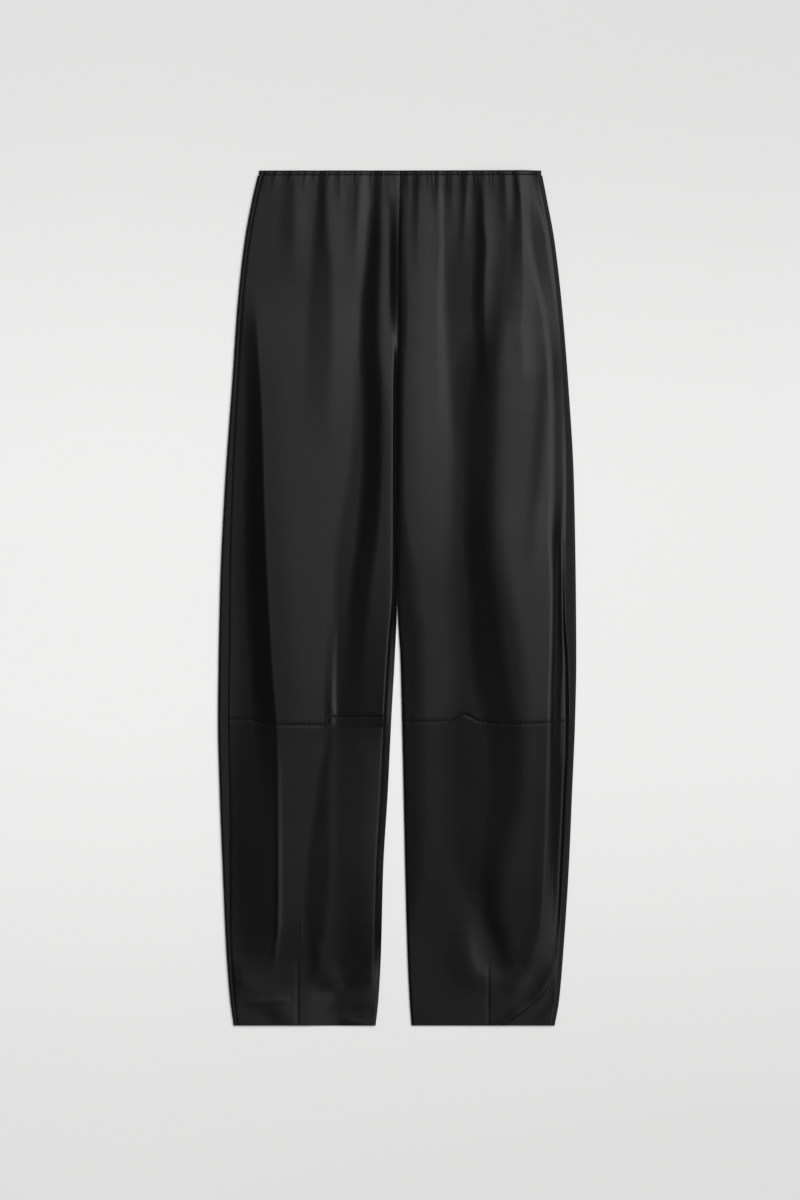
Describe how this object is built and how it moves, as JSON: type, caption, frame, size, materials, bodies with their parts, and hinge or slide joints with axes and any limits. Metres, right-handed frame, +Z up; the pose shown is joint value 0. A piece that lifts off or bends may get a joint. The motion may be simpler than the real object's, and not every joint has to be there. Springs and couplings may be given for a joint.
{
  "type": "barrel-leg pants",
  "caption": "Pull-on barrel-leg pants in dark satin, laid flat with the front up, with a gathered elastic waist and a seam across each knee.",
  "frame": {"origin": "on the surface the pants lie on, under the middle of their box", "axes": "+Y from the hems towards the waist, +X towards the wearer's left leg, +Z up from the surface through the back and then the front"},
  "size_m": [0.4398, 1.05, 0.0221],
  "materials": {
    "satin": "soft satin sheen",
    "casing_satin": "gathered satin over elastic"
  },
  "bodies": {
    "root": {"waist_casing_front": "casing_satin", "waist_casing_back": "casing_satin", "front_upper_right": "satin", "front_lower_right": "satin", "back_upper_right": "satin", "back_lower_right": "satin", "front_upper_left": "satin", "front_lower_left": "satin", "back_upper_left": "satin", "back_lower_left": "satin"}
  },
  "joints": []
}
